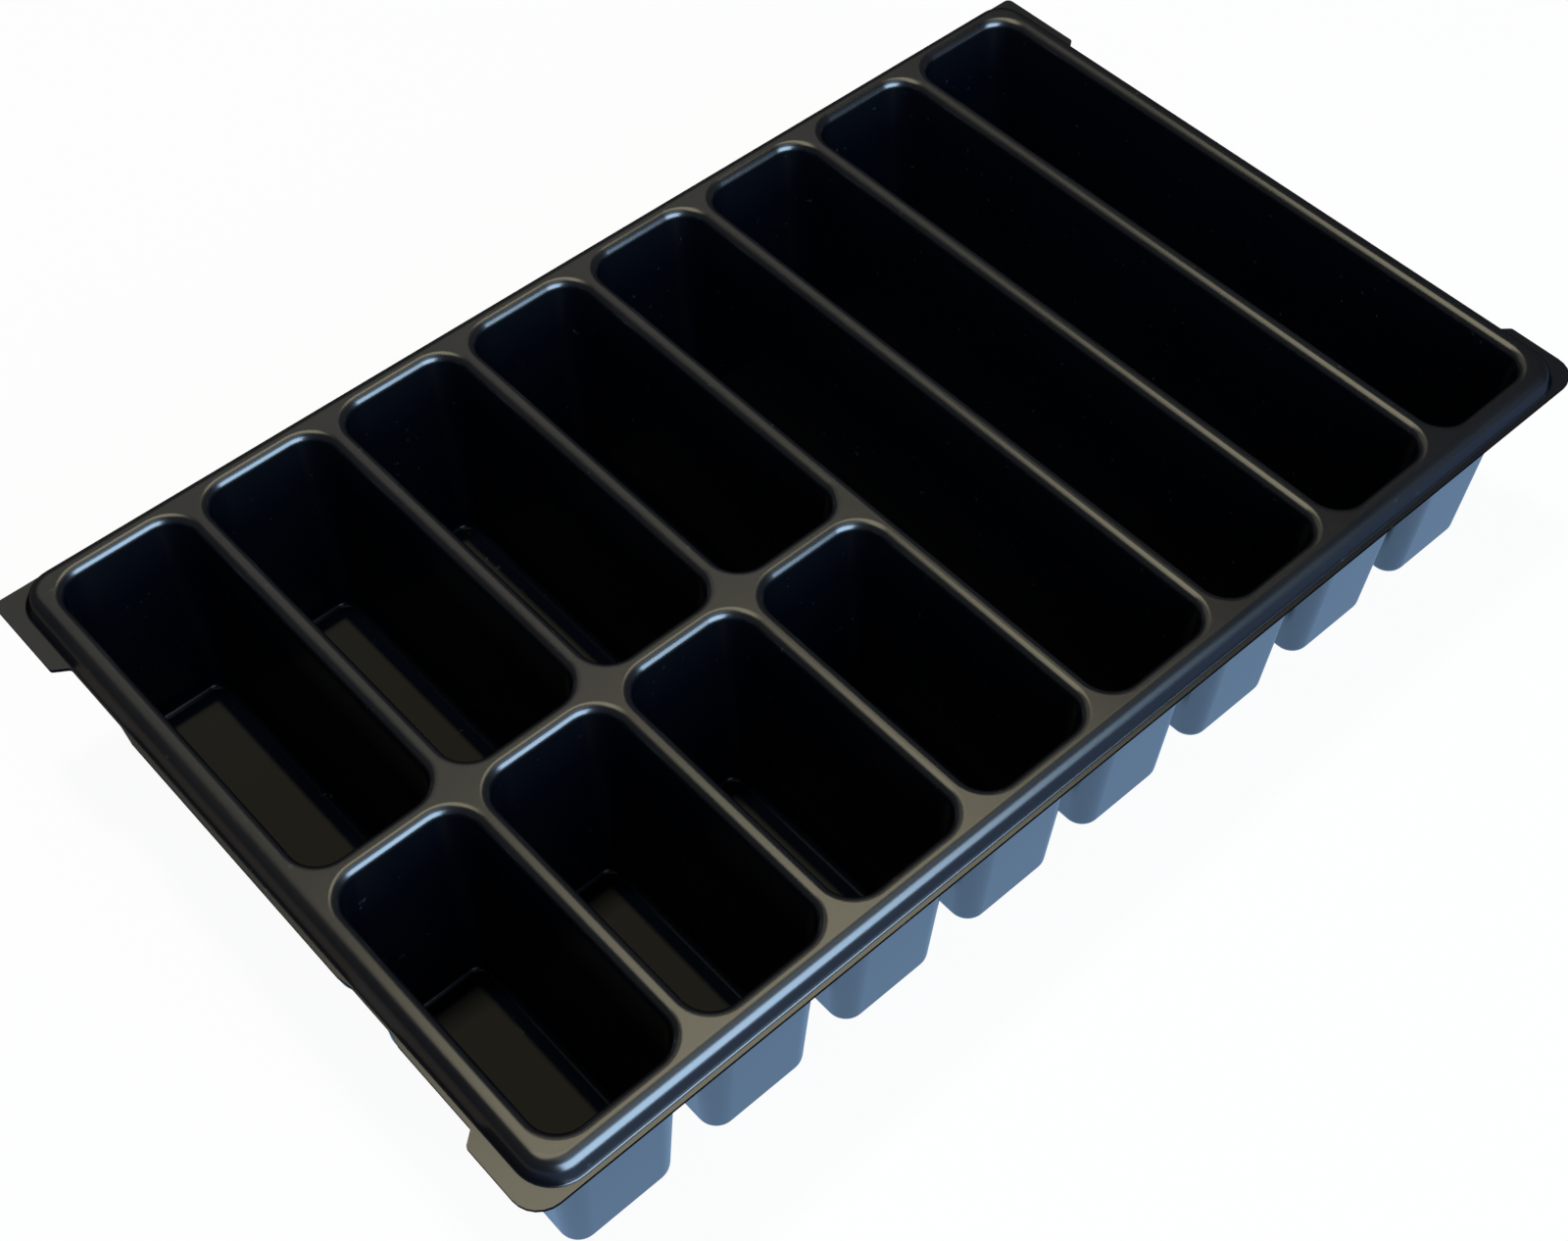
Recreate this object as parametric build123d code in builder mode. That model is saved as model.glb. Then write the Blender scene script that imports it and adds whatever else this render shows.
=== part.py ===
from build123d import *
import math
import os

# Vacuum-formed plastic tray: eight columns of cells in one sheet, the four on the left divided in two.
# Millimetres, +X along the row of columns, +Y to the rear, +Z up.
# The origin is the middle of the footprint, on the plane that the wells stand on.

# Sheet
sheet = 1.2

# Layout of the cells
columns = 8
divided_columns = 4
pitch = 47.0
rear_cell = 123.4
front_cell = 90.3

# Form of a cell, on the face that shows from above
cell_depth = 73.3
wall_draft = 3.3
corner_radius = 9.0
floor_radius = 2.2
mouth_radius = 2.9
ridge_crest = 0.6

# Rim: a narrow crest round the cells, a broad rounded shoulder, a short skirt
side_crest = 0.6
end_crest = 0.2
rim_corner = 11.0
shoulder_radius = 4.4
skirt_drop = 6.0
skirt_draft = 22.0

# Lip round the foot of the skirt, trimmed back along two notches at each side
lip_reach = 1.4
bend_radius = 0.7
notch_depth = 0.9
notch_round = 3.0
rear_notch = 24.6
rear_notch_ramp = 7.0
front_notch = 15.0
front_notch_ramp = 5.0
front_notch_centre = -50.4

# Grip tabs at the four corners of the lip
tab_reach = 3.6
rear_tab = 30.1
front_tab = 25.2
tab_ramp = 3.0
tab_end_round = 1.2
rear_tab_corner = 2.0
front_tab_corner = 8.0


def tan(degrees):
    return math.tan(math.radians(degrees))


def round_run(radius, draft):
    # How far a rounded edge reaches across the flat beside it, above a wall that leans by the draft
    return radius / tan((90 + draft) / 2)


# Sizes that follow from those above
rim_top = cell_depth + sheet
mouth_round = round_run(mouth_radius, wall_draft)
ridge = ridge_crest + 2 * mouth_round
cell_width = pitch - ridge
full_cell = rear_cell + ridge + front_cell
shoulder = round_run(shoulder_radius, skirt_draft) + skirt_drop * tan(skirt_draft)
skirt_length = columns * pitch - ridge + 2 * (mouth_round + side_crest + shoulder)
skirt_width = full_cell + 2 * (mouth_round + end_crest + shoulder)
lip_top = rim_top - skirt_drop
lip_x = skirt_length / 2 + lip_reach
lip_y = skirt_width / 2 + lip_reach
notch_x = lip_x - notch_depth
tab_x = lip_x + tab_reach


def cell_form(length, wall, mouth, floor):
    # Tapered well with its mouth in the plane z = 0: its inner face, or its outer one a wall further out
    grow = wall / math.cos(math.radians(wall_draft)) + mouth * tan(wall_draft)
    with BuildPart() as form:
        with BuildSketch(Plane.XY.offset(mouth)):
            RectangleRounded(cell_width + 2 * grow, length + 2 * grow, corner_radius + grow)
        extrude(amount=floor - mouth, taper=wall_draft)
        fillet(form.faces().sort_by(Axis.Z)[0].edges(), floor_radius + wall)
    return form.part


def rim_form(inset, top_radius, depth):
    # Block under the rim, inset from its outer face, with a rounded shoulder
    spread = inset / math.cos(math.radians(skirt_draft))
    drop = skirt_drop - inset + depth
    grow = 2 * (depth * tan(skirt_draft) + inset * tan(skirt_draft) - spread)
    with BuildPart() as form:
        with BuildSketch(Plane.XY.offset(lip_top - depth)):
            RectangleRounded(skirt_length + grow, skirt_width + grow, rim_corner - inset)
        extrude(amount=drop, taper=skirt_draft)
        fillet(form.faces().sort_by(Axis.Z)[-1].edges(), top_radius)
    return form.part


def hole_edges(part, level):
    # Edges round the holes in the flat faces at one level, counted from the bottom
    flats = part.faces().filter_by(Plane.XY).group_by(Axis.Z)[level]
    return [edge for flat in flats for wire in flat.inner_wires() for edge in wire.edges()]


# Cells by kind: length, and where they stand
column_x = [(i - (columns - 1) / 2) * pitch for i in range(columns)]
divided_x = column_x[:divided_columns]
whole_x = column_x[divided_columns:]
rear_y = (full_cell - rear_cell) / 2
front_y = (front_cell - full_cell) / 2
kinds = [
    (rear_cell, [(x, rear_y, rim_top) for x in divided_x]),
    (front_cell, [(x, front_y, rim_top) for x in divided_x]),
    (full_cell, [(x, 0, rim_top) for x in whole_x]),
]
wells = [(cell_form(length, sheet, -sheet / 2, -rim_top), at) for length, at in kinds]
hollows = [(cell_form(length, 0, sheet, -cell_depth), at) for length, at in kinds]
cap = rim_form(0, shoulder_radius, 0)
cap_hollow = rim_form(sheet, shoulder_radius - sheet, sheet)

# Half outline of the lip, from the middle of the rear edge round the right side to the front
rear_tab_end = lip_y - rear_tab
rear_notch_start = rear_tab_end - tab_ramp
rear_notch_end = rear_notch_start - rear_notch
front_notch_start = front_notch_centre + front_notch / 2
front_notch_end = front_notch_centre - front_notch / 2
front_tab_end = front_tab - lip_y
lip_corners = [
    ((tab_x, lip_y), rear_tab_corner),
    ((tab_x, rear_tab_end), tab_end_round),
    ((notch_x, rear_notch_start), tab_end_round),
    ((notch_x, rear_notch_end), notch_round),
    ((lip_x, rear_notch_end - rear_notch_ramp), notch_round),
    ((lip_x, front_notch_start + front_notch_ramp), notch_round),
    ((notch_x, front_notch_start), notch_round),
    ((notch_x, front_notch_end), notch_round),
    ((lip_x, front_notch_end - front_notch_ramp), notch_round),
    ((lip_x, front_tab_end + tab_ramp), tab_end_round),
    ((tab_x, front_tab_end), tab_end_round),
    ((tab_x, -lip_y), front_tab_corner),
]

with BuildPart() as tray:
    # Rim and lip as one bent sheet
    add(cap)
    with BuildSketch(Plane.XY.offset(lip_top - sheet)):
        with BuildLine():
            points = [(0, lip_y)] + [point for point, radius in lip_corners] + [(0, -lip_y)]
            FilletPolyline(*points, radius=[radius for point, radius in lip_corners])
            mirror(about=Plane.YZ)
        make_face()
    extrude(amount=sheet)
    add(cap_hollow, mode=Mode.SUBTRACT)
    fillet(hole_edges(tray, 1), bend_radius)
    fillet(hole_edges(tray, 0), bend_radius + sheet)

    # Wells hung from the underside, rounded where they leave it
    for well, places in wells:
        with Locations(*places):
            add(well)
    fillet(hole_edges(tray, -2), mouth_radius - sheet)

    # Hollows of the cells, with rounded mouths
    for hollow, places in hollows:
        with Locations(*places):
            add(hollow, mode=Mode.SUBTRACT)
    fillet(hole_edges(tray, -1), mouth_radius)

os.makedirs("parts", exist_ok=True)
tray.part.label = "tray"
export_step(tray.part, "parts/tray.step")
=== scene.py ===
import bpy
import math
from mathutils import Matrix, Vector
from mathutils.geometry import tessellate_polygon


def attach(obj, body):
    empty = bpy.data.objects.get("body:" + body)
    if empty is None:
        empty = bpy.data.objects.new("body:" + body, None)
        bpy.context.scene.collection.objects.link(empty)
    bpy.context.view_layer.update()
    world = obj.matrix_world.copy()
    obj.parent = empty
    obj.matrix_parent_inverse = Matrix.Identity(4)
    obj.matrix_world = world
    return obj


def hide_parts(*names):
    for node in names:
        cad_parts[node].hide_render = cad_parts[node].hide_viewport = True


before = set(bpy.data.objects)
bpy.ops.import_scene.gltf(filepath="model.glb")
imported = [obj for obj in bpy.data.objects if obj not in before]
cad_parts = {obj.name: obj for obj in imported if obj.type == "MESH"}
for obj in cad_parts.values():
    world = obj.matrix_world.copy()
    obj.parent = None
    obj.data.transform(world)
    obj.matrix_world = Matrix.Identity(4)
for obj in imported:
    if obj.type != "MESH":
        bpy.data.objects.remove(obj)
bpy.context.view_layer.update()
scene = bpy.context.scene
scene.view_settings.view_transform = "Standard"
print("frame loaded")

# the formed sheet, in mm
tray = {
    "sheet": 1.2,
    "columns": 8, "dividedColumns": 4, "pitch": 47.0,
    "rearCell": 123.4, "frontCell": 90.3, "depth": 73.3, "wallDraft": 3.3,
    "cornerRadius": 9.0, "floorRadius": 2.2, "mouthRadius": 2.9, "ridgeCrest": 0.6,
    "sideCrest": 0.6, "endCrest": 0.2, "rimCorner": 11.0,
    "shoulderRadius": 4.4, "skirtDrop": 6.0, "skirtDraft": 22.0, "bendRadius": 0.7,
    "lipReach": 1.4, "notchDepth": 0.9, "notchRound": 3.0,
    "rearNotch": 24.6, "rearNotchRamp": 7.0,
    "frontNotch": 15.0, "frontNotchRamp": 5.0, "frontNotchCentre": -50.4,
    "tabReach": 3.6, "rearTab": 30.1, "frontTab": 25.2, "tabRamp": 3.0,
    "tabEndRound": 1.2, "rearTabCorner": 2.0, "frontTabCorner": 8.0,
    "filletSteps": 9, "cornerSteps": 10, "wallSteps": 4, "outlineSteps": 6,
    "cellRuns": (4, 12), "rimRuns": (40, 24),  # steps along the straight runs, in X and in Y
    "shadeMarginInset": 4.2, "shadeMarginFade": 1.4,  # the matt field that the mould leaves on the floor of a cell; its paler tone is partly that finish and partly painted light, and the dark margin left along the walls is painted shade
    "drawnFrom": 7.0, "drawnTo": 20.0,  # depth over which the drawn wall loses its gloss
    "footHeight": 3.0, "footShare": 0.8,  # and it keeps a little of it at the foot
    "crown": 0.45, "crownSpread": 0.6, "lipWear": 0.6,  # where a round edge is rubbed, and the lip's share
    "leastCorner": 1.0, "leastTurn": 0.0001, "leastArea": 1e-9,
}


def tanDeg(a):
    return math.tan(math.radians(a))


def roundRun(radius, draft):
    return radius / tanDeg((90 + draft) / 2)


mouthRun = roundRun(tray["mouthRadius"], tray["wallDraft"])
ridge = tray["ridgeCrest"] + 2 * mouthRun
cellWidth = tray["pitch"] - ridge
fullCell = tray["rearCell"] + ridge + tray["frontCell"]
rimTop = tray["depth"] + tray["sheet"]
lipTop = rimTop - tray["skirtDrop"]
shoulderRun = roundRun(tray["shoulderRadius"], tray["skirtDraft"])
skirtSpread = tray["skirtDrop"] * tanDeg(tray["skirtDraft"])
crestX = (tray["columns"] * tray["pitch"] - ridge) / 2 + mouthRun + tray["sideCrest"] + shoulderRun
crestY = fullCell / 2 + mouthRun + tray["endCrest"] + shoulderRun
lipX = crestX + skirtSpread + tray["lipReach"]
lipY = crestY + skirtSpread + tray["lipReach"]


# section of the bent sheet: round edge, leaning wall, round foot; rows of reach, height, lean of the normal
def bentProfile(topRadius, footRadius, footZ, draft):
    lean = math.radians(draft)
    steps = tray["filletSteps"]
    angles = [(math.pi / 2 - lean) * i / steps for i in range(steps + 1)]
    topReach = topRadius * (math.sin(lean) - 1) / math.cos(lean)
    topZ = rimTop - topRadius
    centreZ = footZ + footRadius
    footReach = (footRadius - (centreZ - rimTop) * math.sin(lean)) / math.cos(lean)
    rows = [(topReach + topRadius * math.sin(a), topZ + topRadius * math.cos(a), a) for a in angles]
    foot = []
    for a in reversed(angles):
        foot.append((footReach - footRadius * math.sin(a), centreZ - footRadius * math.cos(a), a))
    start, end = rows[-1], foot[0]
    for i in range(1, tray["wallSteps"]):
        t = i / tray["wallSteps"]
        rows.append((start[0] + (end[0] - start[0]) * t, start[1] + (end[1] - start[1]) * t, start[2]))
    return rows + foot


class Sheet:
    def __init__(self):
        self.points, self.normals, self.faces, self.wear, self.field = [], [], [], [], []

    def add(self, point, normal, wear, field=0.0):
        self.points.append(Vector(point))
        self.normals.append(Vector(normal).normalized())
        self.wear.append(wear)
        self.field.append(field)
        return len(self.points) - 1

    def join(self, ringA, ringB):
        for i in range(len(ringA)):
            j = (i + 1) % len(ringA)
            self.faces.append((ringA[i], ringA[j], ringB[j], ringB[i]))

    def fillFlat(self, outer, holes):
        loops = [outer] + holes
        order = [i for loop in loops for i in loop]
        for tri in tessellate_polygon([[self.points[i] for i in loop] for loop in loops]):
            a, b, c = (order[i] for i in tri)
            turn = (self.points[b] - self.points[a]).cross(self.points[c] - self.points[a]).z
            if abs(turn) > tray["leastArea"]:
                self.faces.append((a, b, c) if turn > 0 else (a, c, b))


# loop round a rectangle with round corners, at one row of the section
def roundedRing(sheet, centre, halfX, halfY, corner, row, facing, runs, wear, field=0.0):
    z, flat = row[1], facing * math.sin(row[2])
    corners = []
    for quarter in range(4):
        signX, signY = (1, -1, -1, 1)[quarter], (1, 1, -1, -1)[quarter]
        arc = []
        for step in range(tray["cornerSteps"] + 1):
            turn = math.pi / 2 * (quarter + step / tray["cornerSteps"])
            c, s = math.cos(turn), math.sin(turn)
            x = centre[0] + signX * (halfX - corner) + corner * c
            y = centre[1] + signY * (halfY - corner) + corner * s
            arc.append(((x, y, z), (flat * c, flat * s, math.cos(row[2]))))
        corners.append(arc)
    ring = []
    for quarter in range(4):
        ring += [sheet.add(p, n, wear, field) for p, n in corners[quarter]]
        (p, n), (q, m) = corners[quarter][-1], corners[(quarter + 1) % 4][0]
        steps = runs[quarter % 2]
        for i in range(1, steps):
            ring.append(sheet.add(Vector(p).lerp(Vector(q), i / steps), n, wear, field))
    return ring


# how exposed to rubbing a row of the section is: most on the crown of a round edge
def rubbed(index):
    offCrown = abs(index - tray["filletSteps"] * tray["crown"])
    return max(0.0, 1 - offCrown / (tray["filletSteps"] * tray["crownSpread"]))


# how much gloss the stretched wall of a cell has lost at a height
def lostGloss(z):
    if z < tray["sheet"] + tray["footHeight"]:
        return tray["footShare"]
    depth = (rimTop - z - tray["drawnFrom"]) / (tray["drawnTo"] - tray["drawnFrom"])
    return min(1.0, max(0.0, depth))


def addCell(sheet, x, y, length):
    rows = bentProfile(tray["mouthRadius"], tray["floorRadius"], tray["sheet"], tray["wallDraft"])
    # matt floor with painted light: rises to a half along the round foot, and to one inside the margin of
    # the floor, so the margin along the walls keeps painted shade
    last = len(rows) - 1
    field = [max(0.0, 0.5 - 0.5 * (last - i) / tray["filletSteps"]) for i in range(len(rows))]
    reach, floorZ, level = rows[-1]
    for inset, share in ((tray["shadeMarginInset"] - tray["shadeMarginFade"], 0.5), (tray["shadeMarginInset"], 1.0)):
        rows.append((reach + inset, floorZ, level))
        field.append(share)
    rings = []
    for i, row in enumerate(rows):
        halfX = cellWidth / 2 - row[0]
        halfY = length / 2 - row[0]
        corner = max(tray["leastCorner"], tray["cornerRadius"] - row[0])
        rings.append(roundedRing(sheet, (x, y), halfX, halfY, corner, row, -1, tray["cellRuns"],
                                 rubbed(i), field[i]))
    for upper, lower in zip(rings, rings[1:]):
        sheet.join(upper, lower)  # the wall looks into the cell
    sheet.faces.append(tuple(rings[-1]))
    return rings[0]


def addRim(sheet):
    rows = bentProfile(tray["shoulderRadius"], tray["bendRadius"], lipTop, tray["skirtDraft"])
    rings = []
    for i, row in enumerate(rows):
        halfX = crestX + row[0]
        halfY = crestY + row[0]
        corner = tray["rimCorner"] - skirtSpread + row[0]
        rings.append(roundedRing(sheet, (0, 0), halfX, halfY, corner, row, 1, tray["rimRuns"], rubbed(i)))
    for upper, lower in zip(rings, rings[1:]):
        sheet.join(lower, upper)
    return rings[0], rings[-1]


# trimmed outline of the lip, with its tabs and notches
def lipOutline():
    notchX, tabX = lipX - tray["notchDepth"], lipX + tray["tabReach"]
    rearTabEnd = lipY - tray["rearTab"]
    rearNotchStart = rearTabEnd - tray["tabRamp"]
    rearNotchEnd = rearNotchStart - tray["rearNotch"]
    frontNotchStart = tray["frontNotchCentre"] + tray["frontNotch"] / 2
    frontNotchEnd = tray["frontNotchCentre"] - tray["frontNotch"] / 2
    frontTabEnd = tray["frontTab"] - lipY
    right = [
        (tabX, lipY, tray["rearTabCorner"]),
        (tabX, rearTabEnd, tray["tabEndRound"]),
        (notchX, rearNotchStart, tray["tabEndRound"]),
        (notchX, rearNotchEnd, tray["notchRound"]),
        (lipX, rearNotchEnd - tray["rearNotchRamp"], tray["notchRound"]),
        (lipX, frontNotchStart + tray["frontNotchRamp"], tray["notchRound"]),
        (notchX, frontNotchStart, tray["notchRound"]),
        (notchX, frontNotchEnd, tray["notchRound"]),
        (lipX, frontNotchEnd - tray["frontNotchRamp"], tray["notchRound"]),
        (lipX, frontTabEnd + tray["tabRamp"], tray["tabEndRound"]),
        (tabX, frontTabEnd, tray["tabEndRound"]),
        (tabX, -lipY, tray["frontTabCorner"]),
    ]
    # anticlockwise: down the left side from the rear, then up the right side
    corners = [(-x, y, r) for x, y, r in right] + right[::-1]
    outline = []
    for i, (x, y, r) in enumerate(corners):
        here = Vector((x, y))
        back = (Vector(corners[i - 1][:2]) - here).normalized()
        ahead = (Vector(corners[(i + 1) % len(corners)][:2]) - here).normalized()
        halfAngle = back.angle(ahead) / 2
        middle = here + (back + ahead).normalized() * r / math.sin(halfAngle)
        start = here + back * r / math.tan(halfAngle)
        end = here + ahead * r / math.tan(halfAngle)
        a, b = start - middle, end - middle
        for step in range(tray["outlineSteps"] + 1):
            t = step / tray["outlineSteps"]
            outline.append(middle + a.slerp(b, t) * r if a.angle(b) > tray["leastTurn"] else start)
    return outline


def makeTray():
    sheet = Sheet()
    mouths = []
    rearY = (fullCell - tray["rearCell"]) / 2
    frontY = (tray["frontCell"] - fullCell) / 2
    for i in range(tray["columns"]):
        x = (i - (tray["columns"] - 1) / 2) * tray["pitch"]
        if i < tray["dividedColumns"]:
            mouths.append(addCell(sheet, x, rearY, tray["rearCell"]))
            mouths.append(addCell(sheet, x, frontY, tray["frontCell"]))
        else:
            mouths.append(addCell(sheet, x, 0, fullCell))
    crest, bend = addRim(sheet)
    sheet.fillFlat(crest, mouths)
    edge = [sheet.add((p.x, p.y, lipTop), (0, 0, 1), tray["lipWear"]) for p in lipOutline()]
    sheet.fillFlat(edge, [bend])

    # underside, one sheet thickness behind, and the cut edge that closes the lip
    n = len(sheet.points)
    points = sheet.points + [p - m * tray["sheet"] for p, m in zip(sheet.points, sheet.normals)]
    faces = sheet.faces + [tuple(i + n for i in reversed(f)) for f in sheet.faces]
    normals = [[sheet.normals[i] for i in f] for f in sheet.faces]
    normals += [[-sheet.normals[i - n] for i in f] for f in faces[len(sheet.faces):]]
    for a, b in zip(edge, edge[1:] + edge[:1]):
        along = points[b] - points[a]
        out = Vector((along.y, -along.x, 0)).normalized()
        faces.append((a, a + n, b + n, b))
        normals.append([out] * 4)

    mesh = bpy.data.meshes.new("trayShell")
    mesh.from_pydata([p / 1000 for p in points], [], faces)
    mesh.polygons.foreach_set("use_smooth", [True] * len(faces))
    mesh.normals_split_custom_set([m for face in normals for m in face])
    wear = mesh.attributes.new("rubbed", "FLOAT", "POINT")
    wear.data.foreach_set("value", sheet.wear + [0.0] * n)
    field = mesh.attributes.new("field", "FLOAT", "POINT")
    field.data.foreach_set("value", sheet.field + [0.0] * n)
    deep = mesh.attributes.new("drawn", "FLOAT", "POINT")
    deep.data.foreach_set("value", [lostGloss(p.z) for p in sheet.points] + [0.0] * n)
    top = mesh.attributes.new("top", "FLOAT", "POINT")
    top.data.foreach_set("value", [1 - lostGloss(p.z) for p in sheet.points] + [0.0] * n)
    cut = mesh.attributes.new("trimmed", "FLOAT", "FACE")
    cut.data.foreach_set("value", [0.0] * (2 * len(sheet.faces)) + [1.0] * len(edge))
    mesh.update()
    shell = bpy.data.objects.new("trayShell", mesh)
    scene.collection.objects.link(shell)
    print("tray shell:", len(points), "points,", sum(len(f) - 2 for f in faces), "triangles")
    return shell


def addNode(tree, kind, inputs, **settings):
    made = tree.nodes.new("ShaderNode" + kind)
    for name, value in settings.items():
        setattr(made, name, value)
    for name, value in inputs.items():
        if isinstance(value, bpy.types.NodeSocket):
            tree.links.new(value, made.inputs[name])
        else:
            made.inputs[name].default_value = value
    return made


def addNoise(tree, where, scale, detail=2.0):
    return addNode(tree, "TexNoise", {"Vector": where, "Scale": scale, "Detail": detail}).outputs["Fac"]


def addRange(tree, value, low, high, toLow=0.0, toHigh=1.0):
    inputs = {"Value": value, "From Min": low, "From Max": high, "To Min": toLow, "To Max": toHigh}
    return addNode(tree, "MapRange", inputs).outputs["Result"]


def addTimes(tree, a, b):
    return addNode(tree, "Math", {0: a, 1: b}, operation="MULTIPLY").outputs["Value"]


def addMix(tree, factor, a, b):
    return addNode(tree, "Mix", {"Factor": factor, "A": a, "B": b}, data_type="RGBA").outputs["Result"]


# black satin plastic, in linear colour; noise sizes are per metre
blackPlastic = {
    "dark": (0.0010, 0.0018, 0.0042, 1), "light": (0.0020, 0.0032, 0.0066, 1), "cloudScale": 28.0,
    # the paler floor tone is partly the matt finish and partly painted light, kept off a margin along the
    # walls as painted shade
    "cloudDetail": 4.0, "cloudRange": (0.3, 0.7), "litFloorTone": (0.0200, 0.0196, 0.0165, 1),
    "rubbedColour": (0.016, 0.015, 0.013, 1), "rubbedShare": 0.4,
    "scuffColour": (0.030, 0.032, 0.035, 1), "scuffScale": 420.0, "scuffDetail": 3.0,
    "scuffRange": (0.70, 0.76),
    "satinRough": (0.34, 0.42), "floorRough": 0.75, "ior": 1.55,
    "skinIor": 2.25, "skinRough": 0.26, "skinDrawn": 0.16, "specular": 0.0,
    "skimBlend": 0.5, "skimRange": (0.58, 0.76), "skimShare": 0.08,
    "grainScale": 2600.0, "grainHeight": 0.000004, "waveScale": 45.0, "waveHeight": 0.00008,
}


def makePlastic():
    mat = bpy.data.materials.new("blackPlastic")
    mat.use_nodes = True
    tree = mat.node_tree
    shader = tree.nodes["Principled BSDF"]
    shader.inputs["IOR"].default_value = blackPlastic["ior"]
    where = addNode(tree, "TexCoord", {}).outputs["Object"]

    # colour: cloudy black, paler on the rubbed edges, with a few scuffs
    cloud = addNoise(tree, where, blackPlastic["cloudScale"], blackPlastic["cloudDetail"])
    tone = addMix(tree, cloud, blackPlastic["dark"], blackPlastic["light"])
    worn = addNode(tree, "Attribute", {}, attribute_name="rubbed").outputs["Fac"]
    worn = addTimes(tree, worn, addRange(tree, cloud, *blackPlastic["cloudRange"]))
    worn = addTimes(tree, worn, blackPlastic["rubbedShare"])
    tone = addMix(tree, worn, tone, blackPlastic["rubbedColour"])
    scuff = addNoise(tree, where, blackPlastic["scuffScale"], blackPlastic["scuffDetail"])
    scuff = addRange(tree, scuff, *blackPlastic["scuffRange"])
    tone = addMix(tree, scuff, tone, blackPlastic["scuffColour"])

    # the mould leaves the floors of the cells matt, and the trimming knife the edge of the lip; the floors
    # are also painted lighter inside a margin, and the margin along the walls is left dark as painted shade
    field = addNode(tree, "Attribute", {}, attribute_name="field").outputs["Fac"]
    matt = addRange(tree, field, 0.0, 0.5)  # whole from the edge of the floor on
    tone = addMix(tree, addRange(tree, field, 0.5, 1.0), tone, blackPlastic["litFloorTone"])
    trimmed = addNode(tree, "Attribute", {}, attribute_name="trimmed").outputs["Fac"]
    matt = addNode(tree, "Math", {0: matt, 1: trimmed}, operation="MAXIMUM").outputs["Value"]
    tree.links.new(tone, shader.inputs["Base Color"])
    satin = addRange(tree, cloud, *blackPlastic["cloudRange"], *blackPlastic["satinRough"])
    rough = addNode(tree, "Mix", {"Factor": matt, "A": satin, "B": blackPlastic["floorRough"]})
    tree.links.new(rough.outputs["Result"], shader.inputs["Roughness"])

    # all the gloss is in the skin, which the deep walls lose
    shader.inputs["Specular IOR Level"].default_value = blackPlastic["specular"]
    shader.inputs["Coat Roughness"].default_value = blackPlastic["skinRough"]
    shader.inputs["Coat IOR"].default_value = blackPlastic["skinIor"]
    drawn = addNode(tree, "Attribute", {}, attribute_name="drawn").outputs["Fac"]
    skin = addRange(tree, drawn, 0.0, 1.0, 1.0, blackPlastic["skinDrawn"])
    skin = addTimes(tree, skin, addRange(tree, matt, 1.0, 0.0))
    # the rim and the ridges are satin, so they glare little when the look skims them
    top = addNode(tree, "Attribute", {}, attribute_name="top").outputs["Fac"]
    skim = addNode(tree, "LayerWeight", {"Blend": blackPlastic["skimBlend"]}).outputs["Facing"]
    skim = addTimes(tree, skim, top)
    skim = addRange(tree, skim, *blackPlastic["skimRange"], 1.0, blackPlastic["skimShare"])
    tree.links.new(addTimes(tree, skin, skim), shader.inputs["Coat Weight"])

    # fine grain, and the slight waves of a drawn sheet
    height = addNoise(tree, where, blackPlastic["grainScale"])
    grain = addNode(tree, "Bump", {"Height": height, "Distance": blackPlastic["grainHeight"]})
    height = addNoise(tree, where, blackPlastic["waveScale"])
    waves = addNode(tree, "Bump", {"Height": height, "Distance": blackPlastic["waveHeight"],
                                   "Normal": grain.outputs["Normal"]})
    tree.links.new(waves.outputs["Normal"], shader.inputs["Normal"])
    return mat


shell = makeTray()
shell.data.materials.append(makePlastic())
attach(shell, "root")
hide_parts("tray")
print("tray dressed")

# pale floor: white to the camera, and to the plastic a painted cool glow, a painted reflection that fades
# away from the tray into painted dim navy in front and painted dim brown at the sides
paleFloor = {
    "size": 6.0, "rough": 0.8,
    "pale": (0.86, 0.87, 0.88, 1), "paler": (0.92, 0.925, 0.93, 1), "mottleScale": 3.0,
    "glow": 0.95, "glowSeen": (1, 1, 1, 1), "paintedNearReflection": (0.38, 0.63, 1.0, 1),
    "paintedFrontReflection": (0.05, 0.08, 0.16, 1), "paintedSideReflection": (0.06, 0.045, 0.03, 1),
    "glowReach": (0.19, 0.12, 0), "glowFade": (0.02, 0.08), "frontFade": (-0.16, -0.10),  # in metres
}


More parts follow.
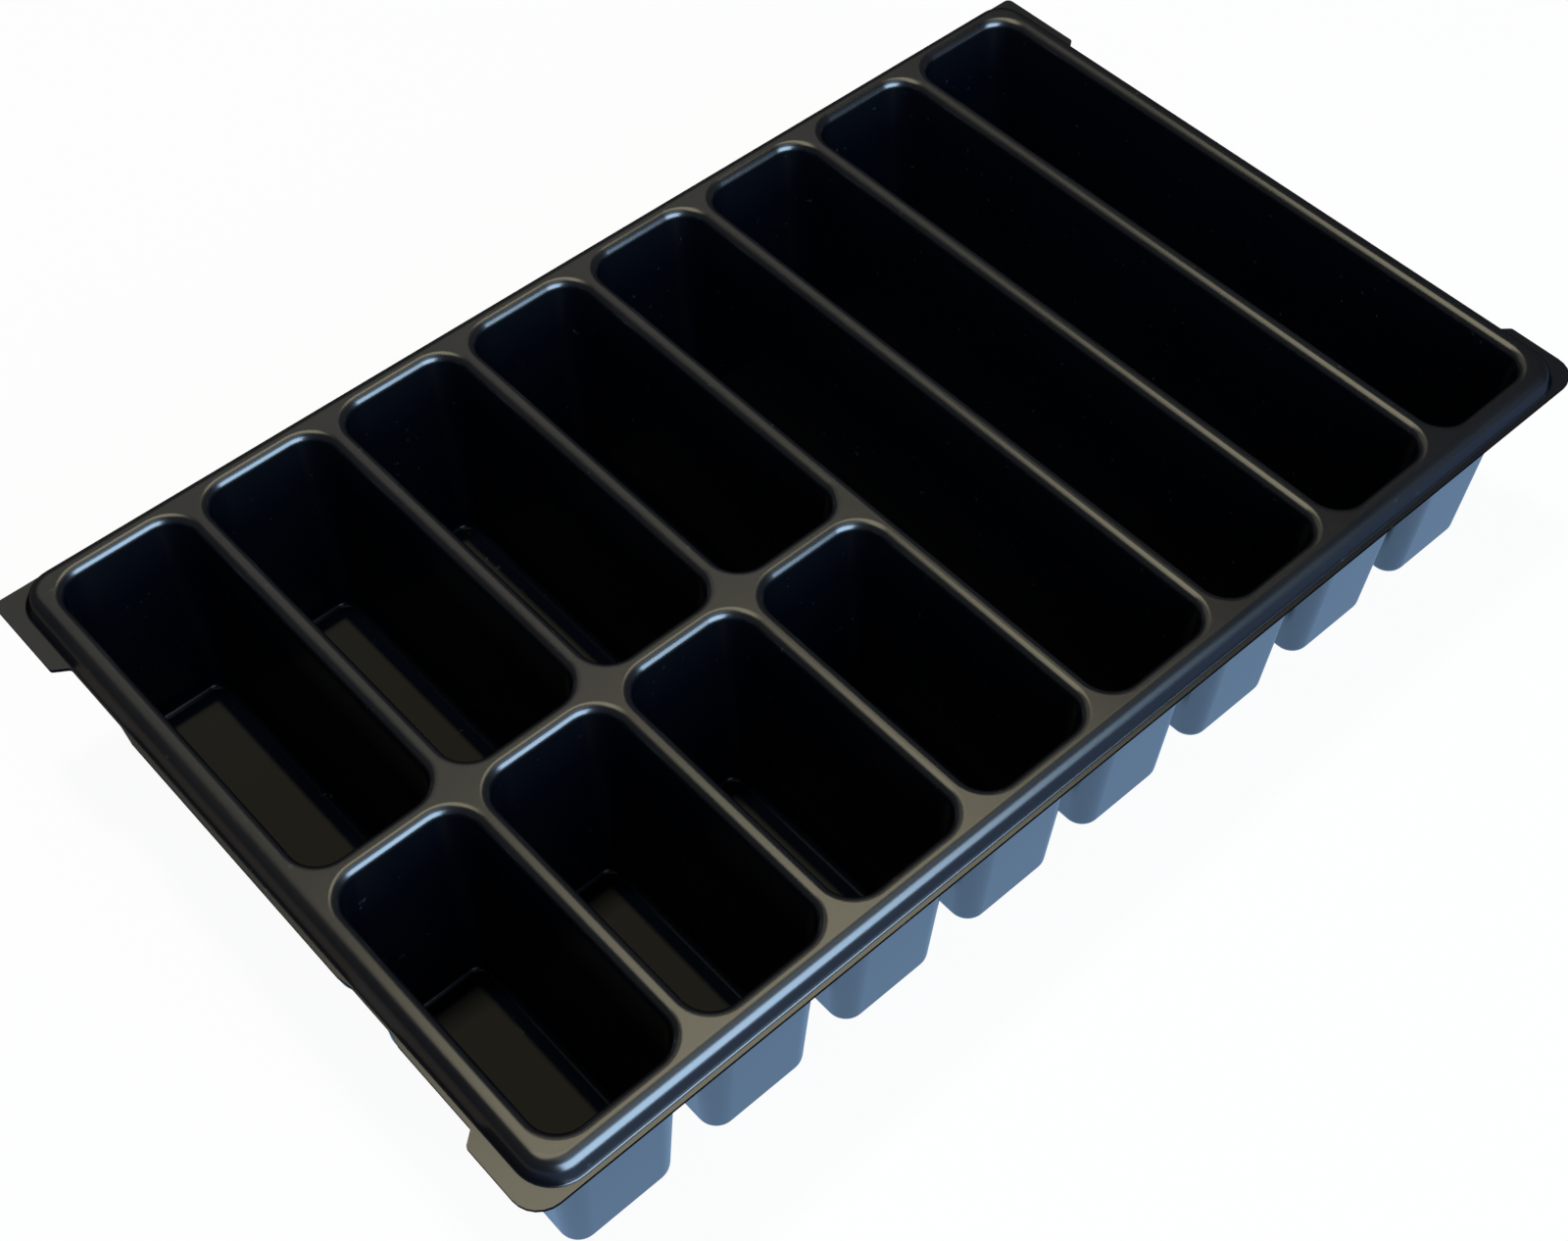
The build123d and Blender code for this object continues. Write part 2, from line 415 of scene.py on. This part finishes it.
def makeFloor():
    bpy.ops.mesh.primitive_plane_add(size=paleFloor["size"])
    floor = bpy.context.object
    floor.name = "floor"
    mat = bpy.data.materials.new("paleFloor")
    mat.use_nodes = True
    tree = mat.node_tree
    shader = tree.nodes["Principled BSDF"]
    shader.inputs["Roughness"].default_value = paleFloor["rough"]
    where = addNode(tree, "TexCoord", {}).outputs["Object"]
    mottle = addNoise(tree, where, paleFloor["mottleScale"])
    tone = addMix(tree, mottle, paleFloor["pale"], paleFloor["paler"])
    tree.links.new(tone, shader.inputs["Base Color"])

    # off: how far a spot is from the tray
    path = addNode(tree, "LightPath", {}).outputs
    off = addNode(tree, "VectorMath", {0: where}, operation="ABSOLUTE").outputs[0]
    off = addNode(tree, "VectorMath", {0: off, 1: paleFloor["glowReach"]}, operation="SUBTRACT").outputs[0]
    off = addNode(tree, "VectorMath", {0: off, 1: (0, 0, 0)}, operation="MAXIMUM").outputs[0]
    off = addNode(tree, "VectorMath", {0: off}, operation="LENGTH").outputs["Value"]
    depth = addNode(tree, "SeparateXYZ", {"Vector": where}).outputs["Y"]
    behind = addRange(tree, depth, *paleFloor["frontFade"])
    paintedFarReflection = addMix(tree, behind, paleFloor["paintedFrontReflection"], paleFloor["paintedSideReflection"])
    # painted reflection: near the tray a cool glow for the plastic to mirror, farther off dim navy in front
    # and dim brown at the sides; the floor is no lamp
    backdropAndPaintedReflection = addMix(tree, addRange(tree, off, *paleFloor["glowFade"]), paleFloor["paintedNearReflection"], paintedFarReflection)
    backdropAndPaintedReflection = addMix(tree, path["Is Camera Ray"], backdropAndPaintedReflection, paleFloor["glowSeen"])
    glow = addNode(tree, "Emission", {"Color": backdropAndPaintedReflection}).outputs["Emission"]
    seen = path["Is Camera Ray"]
    for kind in ("Is Glossy Ray", "Is Transmission Ray"):
        seen = addNode(tree, "Math", {0: seen, 1: path[kind]}, operation="MAXIMUM").outputs["Value"]
    share = addTimes(tree, seen, paleFloor["glow"])  # the rest of it keeps the shadow
    mix = addNode(tree, "MixShader", {0: share, 1: shader.outputs["BSDF"], 2: glow})
    tree.links.new(mix.outputs["Shader"], tree.nodes["Material Output"].inputs["Surface"])
    floor.data.materials.append(mat)


# studio: name, place, turn in degrees, sizes, power, colour, and what the lamp lights
studio = {
    "worldColour": (0.98, 0.99, 1.0, 1), "worldStrength": 0.035,
    "lamps": [
        ("frontWindow", (-0.02, -1.90, 0.86), (66, 0, 0), 1.80, 1.62, 52.0, (0.49, 0.71, 0.96), "all"),
        ("ceilingPanel", (0.03, 0.34, 1.65), (0, 0, 5), 1.65, 0.70, 5.2, (1.0, 0.92, 0.64), "gloss"),
        ("ceilingFront", (0.20, -0.85, 1.65), (0, 0, 0), 1.20, 1.30, 2.6, (0.66, 0.84, 1.0), "gloss"),
        ("rearWall", (0.55, 1.90, 1.90), (-46, 0, -14), 2.60, 1.20, 2.1, (1.0, 0.95, 0.80), "gloss"),
        ("ceilingLamp", (-0.05, 0.27, 1.65), (0, 0, 0), 0.20, 0.20, 18.0, (1.0, 0.96, 0.85), "matt"),
    ],
}


def makeLamps():
    for name, place, turn, sizeX, sizeY, power, colour, kind in studio["lamps"]:
        lamp = bpy.data.lights.new(name, "AREA")
        lamp.shape = "RECTANGLE"
        lamp.size = sizeX
        lamp.size_y = sizeY
        lamp.energy = power
        lamp.color = colour
        holder = bpy.data.objects.new(name, lamp)
        holder.location = place
        holder.rotation_euler = [math.radians(a) for a in turn]
        holder.visible_diffuse = kind != "gloss"
        holder.visible_glossy = kind != "matt"
        scene.collection.objects.link(holder)
    # the room behind the floor is white to the camera, and dim as a light
    world = bpy.data.worlds.new("studio")
    world.use_nodes = True
    tree = world.node_tree
    back = tree.nodes["Background"]
    back.inputs["Color"].default_value = studio["worldColour"]
    seen = addNode(tree, "LightPath", {}).outputs["Is Camera Ray"]
    strength = addRange(tree, seen, 0.0, 1.0, studio["worldStrength"], 1.0)
    tree.links.new(strength, back.inputs["Strength"])
    scene.world = world


# camera: metres, degrees, millimetres
view = {
    "place": (-0.29400, -0.30749, 0.55999), "turn": (37.4151, -0.2073, -42.0731),
    "lens": 51.967, "sensor": 36.0,
}


def makeCamera():
    lens = bpy.data.cameras.new("photoView")
    lens.sensor_fit = "HORIZONTAL"
    lens.sensor_width = view["sensor"]
    lens.lens = view["lens"]
    camera = bpy.data.objects.new("photoView", lens)
    camera.location = view["place"]
    camera.rotation_euler = [math.radians(a) for a in view["turn"]]
    scene.collection.objects.link(camera)
    scene.camera = camera


makeFloor()
makeLamps()
makeCamera()
print("floor, lamps and camera set")
